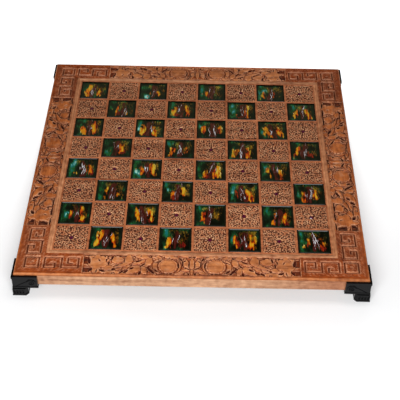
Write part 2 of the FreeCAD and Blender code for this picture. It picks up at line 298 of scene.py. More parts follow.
COPPER_BROWN = "#9f4812"
# polished top; plain face, partly a painted sheen; rubbed edge with painted highlights; groove stain with painted shade
RAIL_SHADES = ("#cc814c", "#d0a27f", "#ecb088", "#481202")
SHADED_SIDE_BROWN = "#974a20"     # painted shade: the two side rails are darker, as their carving lies in more shade
SHADED_SIDE_SHADES = ("#be6d36", "#e0aa80", "#dba27c", "#340d03")
rail_wood = {True: stained_wood("carved_hardwood_along_x", True, COPPER_BROWN, RAIL_SHADES),
             False: stained_wood("carved_hardwood_along_y", False, SHADED_SIDE_BROWN, SHADED_SIDE_SHADES)}
ROSE_BROWN = "#c0764c"
panel_wood = stained_wood("panel_hardwood", True, ROSE_BROWN)
# the third colour lightens the raised ridges between the cuts: rubbed wear and painted highlights
STIPPLE_SHADES = (ROSE_BROWN, ROSE_BROWN, "#ffd2a2", "#4c1806")
stippled_wood = stained_wood("stippled_hardwood", True, ROSE_BROWN, STIPPLE_SHADES)
base_wood = stained_wood("stained_plywood", False, "#8e6342")
spline_wood = stained_wood("plain_beech", True, "#cbaa80")

# %% [markdown]
# ## Carved forms
# The carver sets in the outline of each leaf, rounds it, and sinks a deep pocket wherever the leaves leave
# a gap. Here each form is a signed distance: below zero inside its outline, above zero outside. From it
# come the form's rounded top and the shallow cut round it. The forms are laid one over another, the lowest
# first, and the pockets come last. `depth` is millimetres below the rails' top, on the grid of one rail.

# %% Carving tools
GROUND_CUT = 1.15          # what lies between the leaves
POCKET_CUT = 3.3           # the deep gaps


def lay_form(depth, distance, top, edge=0.9, round_over=1.8, cut=2.3, reach=0.5):
    """Lays a raised form over what is there.

    Inside, the surface is at top and falls by edge over the last round_over mm to the outline. Outside,
    the neighbours are cut back to depth cut at the outline, fading as a bell curve of width reach.
    """
    inside = smooth_step(0.22, -0.22, distance)
    form = top + edge * (1 - smooth_step(0, round_over, -distance)) ** 2
    outside = np.maximum(depth, cut * np.exp(-(np.maximum(distance, 0) / reach) ** 2))
    return inside * form + (1 - inside) * outside


def leaf(s, t, base, tip, half_width, bend=0.0, veins=0.1, fullness=0.75):
    """Distance to a bent leaf, and the depth of its veins.

    Along the leaf u runs from 0 at the base to 1 at the tip. Its spine bows sideways by bend times
    4u(1 - u), and its half width is half_width times the sine of pi times u to the power fullness,
    nicked by an eighth every 5 mm, where one lobe of the edge ends and the next begins.
    """
    axis = np.subtract(tip, base)
    length = math.hypot(*axis)
    along = ((s - base[0]) * axis[0] + (t - base[1]) * axis[1]) / length
    across = (-(s - base[0]) * axis[1] + (t - base[1]) * axis[0]) / length
    u = along / length
    inside = np.clip(u, 0, 1)
    across = across - bend * 4 * inside * (1 - inside)
    width = half_width * np.sin(np.pi * inside ** fullness) ** 0.7 * (1 - 0.125 * np.cos(np.pi * along / 5.0) ** 8)
    past = np.maximum(np.maximum(-along, along - length), 0)
    distance = np.where(past > 0, np.hypot(past, across), (np.abs(across) - width) * 0.85)
    midrib = np.exp(-(across / 0.5) ** 2) * smooth_step(1.02, 0.7, u)
    slant = (along - 0.8 * np.abs(across)) / 2.2
    ribs = np.clip(np.cos(2 * np.pi * slant), 0, 1) ** 2 * smooth_step(0.4, 1.3, np.abs(across))
    return distance, veins * (2.0 * midrib + ribs * smooth_step(0, 1.2, -distance))


def spread_leaf(s, t, centre, tips):
    """A lobed leaf: leaves from one centre to each (tip, half width), joined by their least distance."""
    parts = [leaf(s, t, centre, tip, width, fullness=0.9) for tip, width in tips]
    distance = np.min([part[0] for part in parts], axis=0)
    nearest = np.argmin([part[0] for part in parts], axis=0)
    return distance - 0.5, np.choose(nearest, [part[1] for part in parts])


def curl(s, t, centre, radius, turn=1.0):
    """A rolled tip: a ball with one spiral line cut in it."""
    ds, dt = s - centre[0], t - centre[1]
    r = np.hypot(ds, dt)
    angle = np.arctan2(dt, ds) * turn
    winding = (r / radius * 1.6 - angle / (2 * np.pi)) % 1.0
    line = 0.6 * np.exp(-((winding - 0.5) / 0.16) ** 2) * smooth_step(radius, radius * 0.8, r)
    ball = 1.1 * (r / radius) ** 2
    return r - radius, ball + line


def crescent(s, t, centre, radius, half_width, middle, spread):
    """A band bent round a centre, pointed at both ends: middle and spread are degrees."""
    ds, dt = s - centre[0], t - centre[1]
    r = np.hypot(ds, dt)
    off = (np.degrees(np.arctan2(dt, ds)) - middle + 180) % 360 - 180
    share = np.clip(np.abs(off) / spread, 0, 1.4)
    width = half_width * np.sqrt(np.clip(1 - share ** 2, 0, 1)) - 2.0 * np.maximum(share - 1, 0)
    return np.abs(r - radius) - width, 0.2 * np.exp(-((r - radius) / 0.5) ** 2)


def rosette(s, t, centre):
    """A flower: a low dome in a ring of fourteen round petals."""
    ds, dt = s - centre[0], t - centre[1]
    r = np.hypot(ds, dt)
    angle = np.arctan2(dt, ds)
    distance = r - (10.9 + 1.1 * np.sqrt(np.abs(np.cos(7 * angle))))
    petals = 1.0 * np.exp(-(np.cos(7 * angle) / 0.25) ** 2) * smooth_step(9.0, 10.6, r)
    ring = 0.5 * np.exp(-((r - 9.2) / 0.5) ** 2)
    inner = 0.10 * np.exp(-(np.cos(8 * angle) / 0.3) ** 2) * smooth_step(2.6, 4.4, r) * smooth_step(9.0, 7.0, r)
    button = 0.22 * np.exp(-((r - 2.3) / 0.5) ** 2)
    return distance, petals + ring + inner + button + 0.35 * (r / 11) ** 2


# %% [markdown]
# ## The frieze
# Half of one rail's carving, measured in millimetres from the middle of the rail and from the board's
# edge. It is mirrored to the other half, and the four rails carry the same design. A palmette stands in
# the middle between two rosettes, then a winding stem with leaves and a bud, and a lobed leaf ends the run.

# %% Frieze
BAND_LOW, BAND_HIGH = 2.6, 32.2       # the sunk band, from the board's edge
ARCH_LOW = 31.7                       # its inner edge under the arches, past the bud
ARCH_CUSPS = (92.5, 107.5)
BAND_END = 122.8                      # its end, from the middle of the rail
ROSETTE = (27.0, 16.4)
PALMETTE_TIP = 29.5

# each leaf: base, tip, half width, bend, depth of its veins. The lowest come first.
FRIEZE_LEAVES = (
    ((4.0, 3.0), (56.0, 3.0), 3.0, 0.0, 0.0),
    ((50.0, 3.0), (124.0, 2.8), 3.0, 0.0, 0.0),
    ((13.0, 11.0), (16.8, 30.2), 2.4, 0.6, 0.10),
    ((5.5, 7.8), (24.0, 3.2), 2.9, 0.5, 0.08),
    ((3.0, 21.0), (11.5, 29.8), 2.8, -0.6, 0.10),
    ((15.0, 28.8), (36.0, 30.8), 2.9, 0.3, 0.08),
    ((35.0, 19.5), (47.0, 29.8), 3.6, 0.8, 0.20),
    ((61.0, 21.5), (73.5, 16.2), 2.6, 0.3, 0.20),
    ((62.5, 29.5), (67.0, 19.0), 2.2, 0.4, 0.10),
    ((83.0, 19.6), (95.5, 14.0), 3.2, 0.4, 0.10),
    ((75.0, 16.0), (88.0, 7.6), 3.4, 0.5, 0.08),
    ((92.0, 30.0), (98.0, 20.5), 2.8, 0.5, 0.10),
    ((105.0, 6.6), (78.5, 5.4), 4.2, 0.5, 0.05),
    ((105.0, 13.6), (85.0, 11.8), 4.4, 0.4, 0.05),
    ((69.0, 17.5), (79.5, 8.0), 2.8, 0.6, 0.25),
    ((45.0, 9.0), (60.0, 19.5), 2.4, 1.6, 0.05),
    ((57.0, 16.0), (51.0, 2.4), 4.6, 0.8, 0.06),
    ((18.0, 3.2), (44.0, 2.8), 1.7, 0.0, 0.0),
    ((57.5, 15.0), (74.5, 3.6), 6.2, 0.6, 0.05),
    ((51.5, 16.0), (47.0, 30.5), 4.6, 0.3, 0.06),
    ((33.5, 25.6), (48.5, 31.4), 3.8, 0.9, 0.30),
    ((49.0, 28.5), (66.0, 31.5), 3.8, 0.6, 0.08),
    ((52.5, 25.0), (69.5, 17.2), 3.4, 0.4, 0.20),
    ((69.5, 21.5), (88.5, 12.6), 4.4, 0.8, 0.08),
    ((74.0, 19.0), (70.3, 33.4), 6.4, 0.6, 0.04),
    ((91.8, 24.0), (76.9, 25.6), 6.4, 0.3, 0.06),
    ((113.0, 14.6), (124.0, 16.6), 2.2, 0.5, 0.0),
    ((110.0, 4.2), (124.0, 3.6), 1.8, -0.3, 0.0),
    ((114.0, 28.0), (124.0, 30.4), 1.6, -0.4, 0.0),
)
LOBES = (((107.6, 33.6), 4.2), ((97.0, 31.0), 5.0), ((116.6, 31.2), 5.0), ((117.4, 17.0), 5.2),
         ((109.2, 2.2), 5.0), ((95.0, 17.5), 5.2), ((102.0, 25.0), 7.0))
CURLS = (((93.2, 28.0), 2.6, 1), ((62.6, 26.8), 2.2, -1), ((59.8, 4.0), 1.9, 1),
         ((41.8, 3.8), 1.6, 1), ((88.6, 4.0), 1.4, -1))
PALMETTE = (
    ((1.5, 31.0), (13.5, 31.4), 2.4, 0.5, 0.0),
    ((4.2, 12.4), (8.2, 30.0), 4.2, -0.8, 0.05),
    ((1.5, 10.5), (13.5, 8.6), 2.6, 1.0, 0.10),
)
# the deep gaps between them: both ends, half width
GAPS = (
    ((0.0, 31.4), (4.6, 30.6), 1.3), ((14.4, 31.2), (10.8, 24.0), 1.1), ((10.9, 26.0), (10.0, 14.6), 0.8),
    ((6.8, 25.4), (10.8, 22.2), 1.0), ((15.8, 31.8), (19.6, 31.0), 0.9), ((22.4, 7.2), (24.6, 4.4), 1.0),
    ((86.2, 2.4), (90.6, 3.4), 0.8), ((87.0, 18.4), (90.6, 16.2), 0.7), ((96.4, 26.6), (97.8, 22.6), 0.7),
    ((30.2, 30.8), (33.0, 28.8), 0.9), ((24.8, 30.0), (26.4, 28.2), 0.6), ((20.6, 28.6), (22.4, 27.0), 0.5),
    ((2.9, 25.5), (3.6, 13.5), 0.6), ((15.6, 23.5), (14.6, 13.6), 1.0), ((1.0, 10.6), (9.4, 15.2), 1.1),
    ((3.4, 2.4), (4.2, 7.8), 1.0), ((20.8, 6.8), (38.6, 4.4), 0.6), ((38.4, 6.4), (43.2, 12.0), 1.5),
    ((42.0, 3.8), (51.2, 15.2), 1.6), ((46.6, 17.6), (52.6, 12.2), 1.1), ((33.0, 26.4), (44.4, 19.6), 0.9),
    ((39.6, 32.4), (43.6, 31.0), 1.0), ((45.2, 33.0), (48.0, 27.4), 0.9), ((52.2, 21.6), (58.6, 14.2), 1.2),
    ((55.0, 26.4), (65.2, 21.6), 1.5), ((61.4, 32.8), (69.0, 28.6), 0.9), ((64.8, 14.2), (70.6, 10.2), 1.7),
    ((57.6, 9.4), (58.8, 1.6), 1.5), ((51.6, 3.6), (54.0, 2.6), 0.8), ((71.6, 10.2), (77.4, 4.6), 1.9),
    ((77.4, 9.2), (81.8, 3.4), 1.5), ((74.0, 33.0), (79.2, 30.4), 1.5), ((76.6, 30.6), (76.4, 19.6), 0.5),
    ((90.0, 31.4), (91.8, 23.0), 1.2), ((94.2, 23.6), (94.6, 16.8), 1.0), ((77.2, 21.4), (82.0, 17.4), 1.0),
    ((81.0, 18.6), (88.0, 13.8), 1.0), ((86.4, 12.8), (90.8, 9.2), 1.2), ((97.4, 6.2), (104.8, 10.0), 1.8),
    ((103.8, 21.4), (106.2, 25.8), 0.7), ((118.2, 29.4), (115.4, 17.6), 1.6), ((113.0, 12.6), (115.8, 6.4), 2.0),
    ((96.6, 3.4), (102.2, 2.8), 0.8), ((116.0, 1.8), (123.0, 1.6), 0.7), ((38.0, 2.6), (43.0, 2.8), 0.8),
    ((107.4, 33.6), (113.0, 31.4), 1.2), ((74.0, 30.8), (91.0, 30.9), 1.2), ((91.6, 31.0), (106.0, 30.6), 1.3),
    ((108.0, 32.0), (120.6, 30.2), 1.2), ((56.6, 33.0), (58.2, 29.4), 0.6),
    ((65.6, 19.6), (70.4, 15.8), 0.7), ((86.0, 8.2), (95.0, 8.8), 0.6), ((106.6, 10.4), (107.8, 3.6), 0.6),
    ((48.6, 11.2), (50.6, 6.6), 0.6), ((98.4, 27.4), (100.6, 31.6), 0.5), ((113.4, 26.0), (110.4, 29.6), 0.5),
)
# shallower grounds by the end of the run: middle, half sizes, slant
WINDOWS = (((119.9, 23.2), (3.4, 5.4), 0.3), ((119.0, 9.0), (4.0, 3.4), 0.0))


def frieze(s, t, depth):
    """Carves the floral band into depth, where s is the distance from the rail's middle, either way."""
    arches = smooth_step(70, 76, s) * (1 - sum(np.exp(-((s - cusp) / 2.2) ** 2) for cusp in ARCH_CUSPS))
    high = BAND_HIGH - (BAND_HIGH - ARCH_LOW) * np.clip(arches, 0, 1)
    in_band = (smooth_step(BAND_LOW - 0.9, BAND_LOW + 0.9, t) * smooth_step(0.3, -0.3, t - high)
               * smooth_step(BAND_END + 0.3, BAND_END - 0.3, s))
    d = np.full_like(s, GROUND_CUT)
    for base, tip, width, bend, veins in FRIEZE_LEAVES:
        distance, lines = leaf(s, t, base, tip, width, bend, veins)
        d = lay_form(d, distance, 0.35 + lines)
    distance, lines = spread_leaf(s, t, (106.5, 18.0), LOBES)
    d = lay_form(d, distance, 0.2 + 0.5 * lines)
    for centre, radius, turn in CURLS:
        distance, ball = curl(s, t, centre, radius, turn)
        d = lay_form(d, distance, 0.15 + ball, edge=0.3, cut=2.4)

    # crescents hold the rosette on both sides
    for radius, width, middle, spread in ((19.4, 1.6, -30, 30), (15.4, 3.0, -4, 46), (13.6, 1.5, 186, 50)):
        distance, groove = crescent(s, t, ROSETTE, radius, width, middle, spread)
        d = lay_form(d, distance, 0.4 + groove)
    distance, petals = rosette(s, t, ROSETTE)
    d = lay_form(d, distance, 0.1 + petals)

    # palmette: outer leaves, flanking petals, the middle petal, and the two rolled stems below it
    for base, tip, width, bend, veins in PALMETTE:
        distance, lines = leaf(s, t, base, tip, width, bend, veins)
        d = lay_form(d, distance, 0.4 + lines)
    distance, _ = leaf(s, t, (0.0, 11.5), (0.0, PALMETTE_TIP), 3.8, fullness=0.85)
    d = lay_form(d, distance, 0.15)
    distance, _ = leaf(s, t, (0.0, 12.5), (0.0, 2.6), 2.4, fullness=0.8)
    d = lay_form(d, distance, 0.4)
    distance, ball = curl(s, t, (6.3, 4.6), 2.6, -1)
    d = lay_form(d, distance, 0.15 + ball, edge=0.3, cut=2.4)

    for start, end, width in GAPS:
        distance, _ = leaf(s, t, start, end, width * 1.15, fullness=1.0)
        d = np.maximum(d, POCKET_CUT * smooth_step(0.35, -0.55, distance))
    for (s0, t0), (s_half, t_half), slant in WINDOWS:
        distance = np.maximum(np.abs(s - s0 - slant * (t - t0)) - s_half, np.abs(t - t0) - t_half)
        d = np.maximum(d, 2.1 * smooth_step(0.3, -0.3, distance))
    return depth * (1 - in_band) + np.maximum(d, depth) * in_band


# %% [markdown]
# ## Greek key
# The corner square and the two linked spirals are straight cuts with square ends, the same as in the
# solids. For such a cut the distance is measured to a box, and its walls lean by a third of a millimetre.

# %% Greek key
KEY_LINE, KEY_CUT = 2.2, 1.6
KEY_NEAR, KEY_FAR, KEY_LEVEL = 11.0, 26.4, 17.6      # from the board's edge
KEY_STROKES = (32.8, 52.4, 71.5)                     # the long strokes, from the board's corner
KEY_OUTER_HOOK, KEY_INNER_HOOK, KEY_TIP = 45.0, 59.5, 4.5


def key_path():
    """Corners of the key along a rail: distances from the board's corner, and from its edge."""
    first, second, third = KEY_STROKES
    return [
        (KEY_OUTER_HOOK - KEY_TIP, KEY_LEVEL), (KEY_OUTER_HOOK, KEY_LEVEL), (KEY_OUTER_HOOK, KEY_NEAR),
        (first, KEY_NEAR), (first, KEY_FAR), (second, KEY_FAR), (second, KEY_NEAR), (third, KEY_NEAR),
        (third, KEY_FAR), (KEY_INNER_HOOK, KEY_FAR), (KEY_INNER_HOOK, KEY_LEVEL),
        (KEY_INNER_HOOK + KEY_TIP, KEY_LEVEL),
    ]


def greek_key(s, t, depth):
    """Cuts the corner ornament, where s is the distance from the rail's middle."""
    a = HALF - s
    near, far = KEY_NEAR, KEY_FAR
    middle = (near + far) / 2
    lines = list(zip(key_path(), key_path()[1:]))
    ring = [(near, near), (far, near), (far, far), (near, far), (near, near)]
    lines += list(zip(ring, ring[1:])) + [((middle, middle), (middle, middle))]
    distance = np.full_like(s, 99.0)
    for (x0, y0), (x1, y1) in lines:
        dx = np.maximum(min(x0, x1) - a, a - max(x0, x1))
        dy = np.maximum(min(y0, y1) - t, t - max(y0, y1))
        distance = np.minimum(distance, np.maximum(dx, dy))
    cut = KEY_CUT * smooth_step(KEY_LINE / 2 + 0.2, KEY_LINE / 2 - 0.4, distance)
    return np.maximum(depth, cut), distance


# %% [markdown]
# ## Rails
# One rail is a closed tube of points: its section runs round the wood, and 890 copies of it stand along
# the rail. Each point of the section reaches as far as the mitre lets it, so the copies fan out into the
# 45 degree ends by themselves. Only the top of the section is carved.

# %% Rails
COLUMNS = 890              # steps of 0.45 mm along the rail
TOP_STEP = 0.45
MITRE_GAP = 0.04           # half the hairline at the mitre
GROOVE_LOW, GROOVE_HIGH = 23.9, 28.9   # groove for the panel's tongue, above the table
RABBET = 25.8              # from the board's edge
RABBET_TOP = 18.7
PANEL_GROOVE = 25.8
RAIL_ARRIS = 1.0


def rail_outline():
    """(t, z) round the rail, from its inner top edge down, round below, and up the outside."""
    r = NOSING_ROUND
    turns = np.radians(np.linspace(180, 90, 7))
    nosing = [(r + r * math.cos(q), TOP - r + r * math.sin(q)) for q in turns]
    inside = [(RAIL_WIDTH, TOP - 0.3), (RAIL_WIDTH, GROOVE_HIGH), (PANEL_GROOVE, GROOVE_HIGH),
              (PANEL_GROOVE, GROOVE_LOW), (RAIL_WIDTH, GROOVE_LOW), (RAIL_WIDTH, RABBET_TOP),
              (RABBET, RABBET_TOP), (RABBET, RAIL_BOTTOM + 0.3), (RABBET - 0.3, RAIL_BOTTOM)]
    r = RAIL_ARRIS
    turns = np.radians(np.linspace(270, 180, 5))
    low = [(FACE_INSET + r + r * math.cos(q), RAIL_BOTTOM + r + r * math.sin(q)) for q in turns]
    lip = TOP - NOSING_DEPTH
    outside = [(FACE_INSET, lip - 1.6), (FACE_INSET, lip - 0.5), (FACE_INSET - 0.15, lip - 0.12), (0.25, lip), (0.0, lip + 0.25)]
    return inside, low + outside + nosing


def carve_rail(side, quarters):
    """Builds one carved rail and returns its object."""
    inside, outside = rail_outline()
    rows = int((RAIL_WIDTH - NOSING_ROUND) / TOP_STEP)
    t_top = np.linspace(NOSING_ROUND, RAIL_WIDTH, rows)[1:]
    section_t = np.array([p[0] for p in inside] + [p[0] for p in outside] + list(t_top))
    section_z = np.array([p[1] for p in inside] + [p[1] for p in outside] + [TOP] * len(t_top))
    share = np.linspace(-1, 1, COLUMNS)[:, None]
    x = share * (HALF - section_t - MITRE_GAP)[None, :]
    t = np.broadcast_to(section_t, x.shape)

    first = len(section_t) - len(t_top)
    s_grid, t_grid = x[:, first:], t[:, first:]
    rng = np.random.default_rng(40 + quarters)
    sway = np.zeros_like(s_grid)
    for _ in range(5):
        wave, phase = rng.uniform(0.03, 0.2), rng.uniform(0, 6.28)
        sway += 0.16 * np.sin(wave * s_grid + phase)
    calm = smooth_step(120, 100, np.abs(s_grid))
    s_abs = np.abs(s_grid + sway * calm)
    t_hand = t_grid + 0.6 * sway * calm
    depth, key_distance = greek_key(s_abs, t_hand, np.zeros_like(s_grid))
    depth = frieze(s_abs, t_hand, depth)
    inner_line = 0.5 * np.exp(-((t_grid - 32.2) / 0.3) ** 2) * smooth_step(125.5, 124.5, s_abs)
    depth = np.maximum(depth, inner_line)

    in_frieze = smooth_step(BAND_END + 1, BAND_END, s_abs) * smooth_step(BAND_LOW, BAND_LOW + 1, t_grid)
    in_key = smooth_step(122, 125, s_abs) * smooth_step(3.6, 5.4, t_grid)
    plain = in_key * smooth_step(KEY_LINE / 2, KEY_LINE / 2 + 0.7, key_distance)
    dimples = np.clip(cloudy(rng, depth.shape, 1), -1.5, 1.5)
    waviness = cloudy(rng, depth.shape, 4, 3)
    punched = smooth_step(2.0, 3.0, depth)
    depth = depth + 0.16 * rng.normal(0, 1, depth.shape) * punched + (0.12 + 0.12 * dimples) * plain
    depth = np.maximum(depth + 0.08 * waviness * in_frieze, 0)
    depth[:, -1] = np.maximum(depth[:, -1], 0.3)

    z = np.broadcast_to(section_z, x.shape).copy()
    z[:, first:] = TOP - depth
    points = turned(np.stack([x, t - HALF, z], axis=-1), quarters)

    relief = blurred(depth, 2) - depth
    # stain darkening the deep cuts, plus painted shade wherever the surface lies below its neighbours
    stain_and_painted_shade = smooth_step(1.1, 2.7, depth) * 0.95 + smooth_step(0.1, 0.5, -relief) * 0.5
    # the floors of the key's grooves are darkened: stain, and painted shade of the narrow cut
    key_floor_stain_and_shade = smooth_step(KEY_LINE / 2 - 0.2, KEY_LINE / 2 - 0.75, key_distance) * smooth_step(0.9, 1.4, depth)
    carving = np.zeros(x.shape + (4,))
    speckle = np.clip(0.16 * dimples * plain + 0.08 * waviness * in_frieze, 0, 0.5)
    carving[:, first:, 0] = np.clip(stain_and_painted_shade * in_frieze + 0.8 * key_floor_stain_and_shade + speckle, 0, 0.95)
    # rubbed edges, lightened further as painted highlights on every raised rim, and random paler patches
    rubbed_and_highlit = smooth_step(0.05, 0.5, relief) * 0.75 + np.clip(0.16 * waviness * in_frieze - 0.2 * dimples * plain, 0, 0.4)
    # painted highlight: the walls of the key's grooves are lightened, as if lit
    wall = np.exp(-((key_distance - KEY_LINE / 2 + 0.1) / 0.4) ** 2) * in_key
    carving[:, first:, 1] = np.clip(np.maximum(rubbed_and_highlit, 0.3 * wall), 0, 1)
    face = np.zeros(len(section_t))
    face[len(inside):first] = section_z[len(inside):first] < TOP - NOSING_DEPTH - 0.3
    # painted sheen: the outer faces take the pale shade, twice as much in the middle of each rail as at its ends, a
    # painted reflection
    carving[:, :first, 2] = (face * (1.0 - 0.5 * smooth_step(90, 170, np.abs(x + 25)[:, :1])))[:, :first]
    carving[:, :first, 3] = 1 - face[:first]
    # painted shadow: a dark line under the nosing's lip, in the groove colour
    painted_lip_shadow = np.abs(section_z - (TOP - NOSING_DEPTH)) < 0.6
    carving[:, len(inside):first, 0] = 0.55 * painted_lip_shadow[len(inside):first]
    carving[:, first:, 3] = in_frieze * smooth_step(1.2, 0.4, depth)
    quads = grid_quads(COLUMNS, len(section_t), close_columns=True)
    ring = np.arange(len(section_t))
    caps = [ring, (ring + (COLUMNS - 1) * len(section_t))[::-1]]
    material = rail_wood[quarters % 2 == 0]
    made = piece("carved_rail_" + side, points, quads, material, ["rail_" + side], caps,
                 {"carving": carving.reshape(-1, 4)})
    return made


for quarters, side in enumerate(SIDES):
    rail = carve_rail(side, quarters)
    print(rail.name, len(rail.data.polygons), "faces")

# %% [markdown]
# ## Inner moulding
# Two plain steps lead from the rails down to the field. A short profile carried along the side is
# enough, and its corners are eased by a few tenths of a millimetre, as a plane leaves them.

# %% Inner moulding
MOULDING_TOP = TOP - 0.3
MOULDING_LOW = MOULDING_TOP - 0.9
STEP_PLACE = HALF - FIELD - 2.6


def inner_moulding(side, quarters):
    """The eased two-step profile between the rail and the field, mitred at both ends."""
    e = 0.3
    outline = np.array([
        (RAIL_WIDTH, GROOVE_HIGH), (RAIL_WIDTH, MOULDING_TOP - e), (RAIL_WIDTH + e, MOULDING_TOP),
        (STEP_PLACE - 2 * e, MOULDING_TOP), (STEP_PLACE - e, MOULDING_TOP - 0.12), (STEP_PLACE, MOULDING_TOP - 2 * e),
        (STEP_PLACE + 0.05, MOULDING_LOW + 0.1), (STEP_PLACE + e, MOULDING_LOW),
        (HALF - FIELD - e, MOULDING_LOW), (HALF - FIELD, MOULDING_LOW - e), (HALF - FIELD, GROOVE_HIGH)])[::-1]
    share = np.linspace(-1, 1, 81)[:, None]
    x = share * (HALF - outline[:, 0] - MITRE_GAP)[None, :]
    t = np.broadcast_to(outline[:, 0], x.shape)
    z = np.broadcast_to(outline[:, 1], x.shape)
    points = turned(np.stack([x, t - HALF, z], axis=-1), quarters)
    carving = np.zeros(x.shape + (4,))
    near_step = np.abs(outline[:, 0] - STEP_PLACE) < 0.2
    # darker along the riser of the step, in the groove colour
    carving[..., 0] = near_step * 0.3
    carving[..., 2] = 0.5
    carving[..., 3] = 0.8
    ring = np.arange(len(outline))
    caps = [ring, (ring + 80 * len(outline))[::-1]]
    return piece("inner_moulding_" + side, points, grid_quads(81, len(outline), close_columns=True)[:, ::1],
                 rail_wood[quarters % 2 == 0], ["inner_fillet_" + side], caps,
                 {"carving": carving.reshape(-1, 4)}, sharp=60)


for quarters, side in enumerate(SIDES):
    inner_moulding(side, quarters)

# %% [markdown]
# ## Playing panel
# The panel's solid already has its ribs and pockets. A merged copy gets a narrow bevel, because a
# varnished edge is never sharp and the bevel catches the light.

# %% Playing panel
def eased_copy(node, name, material, width_mm, segments=2):
    """Copy of a solid's mesh with its triangles joined at shared points and its edges bevelled."""
    mesh = nodes[node].data.copy()
    mesh.name = name
    work = bmesh.new()
    work.from_mesh(mesh)
    bmesh.ops.remove_doubles(work, verts=work.verts, dist=0.00001)
    bmesh.ops.dissolve_limit(work, angle_limit=math.radians(1), verts=work.verts, edges=work.edges)
    work.to_mesh(mesh)
    work.free()
    mesh.materials.clear()
    mesh.materials.append(material)
    made = bpy.data.objects.new(name, mesh)
    bpy.context.scene.collection.objects.link(made)
    bevel = made.modifiers.new("eased_edges", "BEVEL")
    bevel.width = width_mm * MM
    bevel.segments = segments
    bevel.limit_method = "ANGLE"
    bevel.angle_limit = math.radians(40)
    bevel.harden_normals = False
    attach(made, "root")
    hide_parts(node)
    return made


panel = eased_copy("playing_panel", "ribbed_panel", panel_wood, 0.18)

# %% [markdown]
# ## Stippled squares
# The ground of each light square is worked with short gouge cuts that turn about the stone. A jittered
# grid spreads the cuts evenly, and each is a capsule shape pressed into the surface.

# %% Stippled squares
PLATE = 37.7
PLATE_POINTS = 85          # a point every 0.45 mm
PLATE_TOP = 32.6
CUT_DEPTH = 0.66
CUTS_ACROSS = 16
SEAT_RADIUS = 3.2          # flat ring round the stone


def stippled_square(row, column):
    """A thin plate whose top carries the gouge cuts."""
    rng = np.random.default_rng(100 + 8 * row + column)
    line = np.linspace(-PLATE / 2, PLATE / 2, PLATE_POINTS)
    x, y = np.meshgrid(line, line, indexing="ij")
    step = PLATE / CUTS_ACROSS
    cells = (np.arange(CUTS_ACROSS) + 0.5) * step - PLATE / 2
    cx, cy = [grid.ravel() for grid in np.meshgrid(cells, cells, indexing="ij")]
    cx = cx + rng.uniform(-0.42, 0.42, cx.shape) * step
    cy = cy + rng.uniform(-0.42, 0.42, cy.shape) * step
    radius = np.hypot(cx, cy)
    stray = rng.normal(0, 1, cx.shape) * (0.12 + 0.75 * smooth_step(7, 19, radius))
    heading = np.arctan2(cy, cx) + stray
    length = rng.uniform(0.0, 0.45, cx.shape) + 0.5 * smooth_step(10, 5, radius)
    width = rng.uniform(0.85, 1.40, cx.shape) - 0.22 * smooth_step(10, 5, radius)
    weight = rng.uniform(0.55, 1.0, cx.shape) * (radius > 3.6)
    depth = np.zeros_like(x)
    for n in range(len(cx)):
        if weight[n] == 0:
            continue
        near = (np.abs(x - cx[n]) < 2.6) & (np.abs(y - cy[n]) < 2.6)
        dx, dy = x[near] - cx[n], y[near] - cy[n]
        along = dx * math.cos(heading[n]) + dy * math.sin(heading[n])
        across = -dx * math.sin(heading[n]) + dy * math.cos(heading[n])
        away = np.hypot(np.maximum(np.abs(along) - length[n], 0), across)
        depth[near] = np.maximum(depth[near], weight[n] * CUT_DEPTH * smooth_step(width[n] + 0.1, 0.2, away))
    middle = np.hypot(x, y)
    edge = PLATE / 2 - np.maximum(np.abs(x), np.abs(y))
    surface = depth + 0.25 * (1 - smooth_step(0, 0.9, edge)) + rng.normal(0, 0.02, depth.shape)
    seat = PLATE_TOP - (CUP_RIM - 0.08)
    surface = np.where(middle < SEAT_RADIUS, seat, surface * smooth_step(SEAT_RADIUS, SEAT_RADIUS + 0.8, middle)
                       + seat * smooth_step(SEAT_RADIUS + 0.5, SEAT_RADIUS, middle))
    top = np.stack([x + square_middle(column), y + square_middle(row), PLATE_TOP - surface], axis=-1)
    count = PLATE_POINTS
    number = np.arange(count * count).reshape(count, count)
    rim = np.concatenate([number[0, :-1], number[:-1, -1], number[-1, :0:-1], number[:0:-1, 0]])
    flat = top.reshape(-1, 3)
    low = flat[rim].copy()
    low[:, 2] = GROUND + 0.01
    points = np.concatenate([flat, low])
    low_number = len(flat) + np.arange(len(rim))
    wall = np.stack([rim, np.roll(rim, -1), np.roll(low_number, -1), low_number], axis=-1)
    quads = np.concatenate([grid_quads(count, count)[:, ::-1], wall[:, ::-1]])
    carving = np.zeros((len(points), 4))
    relief = blurred(surface, 2) - surface
    carving[:len(flat), 0] = (smooth_step(0.04, 0.26, depth) * 0.95).ravel()
    # painted highlight: the ridges between the cuts are lightened, as well as rubbed
    carving[:len(flat), 1] = (smooth_step(0.04, 0.24, relief) * 0.95 * (middle > SEAT_RADIUS)).ravel()
    return piece("stippled_square_row%d_column%d" % (row + 1, column + 1), points, quads, stippled_wood,
                 caps=[low_number], colours={"carving": carving})


for row, column in LIGHT:
    plate = stippled_square(row, column)
print("stippled squares", len(LIGHT), "of", len(plate.data.polygons), "faces")

# %% [markdown]
# ## Enamel
# Vitreous enamel is coloured glass, fired in the pocket until it flows. Surface tension draws it up the
# walls, so the edge stands higher than the middle. Each dark square was laid out the same way and came
# out differently: a dark maroon seam with pale threads down the middle, flames of orange glass on both
# sides of it, and near-black green round them that turns to leaf green and teal in places.
# The point attribute "swirl" holds that layout: flame in red, its heat in green, the green glass in blue,
# and in alpha the seam, where the upper half of the scale is its pale threads. The shader only frays the
# borders, with noise drawn out towards the player, as the glass was combed.

